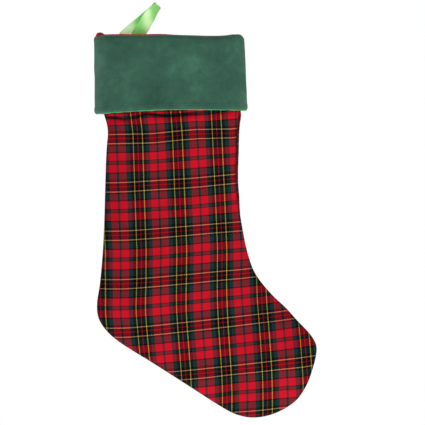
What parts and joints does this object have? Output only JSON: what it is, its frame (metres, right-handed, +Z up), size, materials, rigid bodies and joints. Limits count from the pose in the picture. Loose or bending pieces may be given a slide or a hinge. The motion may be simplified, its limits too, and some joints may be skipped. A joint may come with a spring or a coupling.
{
  "type": "hanging stocking",
  "caption": "Lined tartan stocking with a turned-down velour cuff, an open mouth and a satin ribbon loop to hang it by.",
  "frame": {"origin": "where a hook bears on the inside of the ribbon loop's top", "axes": "+Z up, +X from the heel side toward the toe, the front faces -Y"},
  "size_m": [0.2784, 0.0442, 0.521],
  "materials": {
    "tartan": "matte",
    "lining": "matte",
    "velour": "matte",
    "satin_facing": "satin",
    "ribbon": "satin",
    "green_thread": "matte",
    "seam_thread": "matte",
    "red_thread": "matte",
    "ribbon_thread": "matte"
  },
  "bodies": {
    "hanger": {"hanger_loop": "ribbon"},
    "stocking": {"body_front": "tartan", "body_back": "tartan", "body_seam": "seam_thread", "lining_front": "lining", "lining_back": "lining", "lining_seam": "red_thread", "lining_corner_roll": "lining", "cuff_front": "velour", "cuff_back": "velour", "cuff_seam_heel": "green_thread", "cuff_seam_instep": "green_thread", "cuff_facing_front": "satin_facing", "cuff_facing_back": "satin_facing", "hem_stitch_upper_front": "green_thread", "hem_stitch_lower_front": "green_thread", "hem_stitch_upper_back": "green_thread", "hem_stitch_lower_back": "green_thread", "mouth_stitch_front": "seam_thread", "mouth_stitch_back": "seam_thread", "hanger_tails": "ribbon", "hanger_bartack": "ribbon_thread"}
  },
  "joints": [
    {"name": "ribbon_swing", "type": "hinge", "parent": "hanger", "child": "stocking", "pos_m": [-0.029, 0.0038, -0.0368], "axis": [1, 0, 0], "range_deg": [-45, 45]}
  ]
}
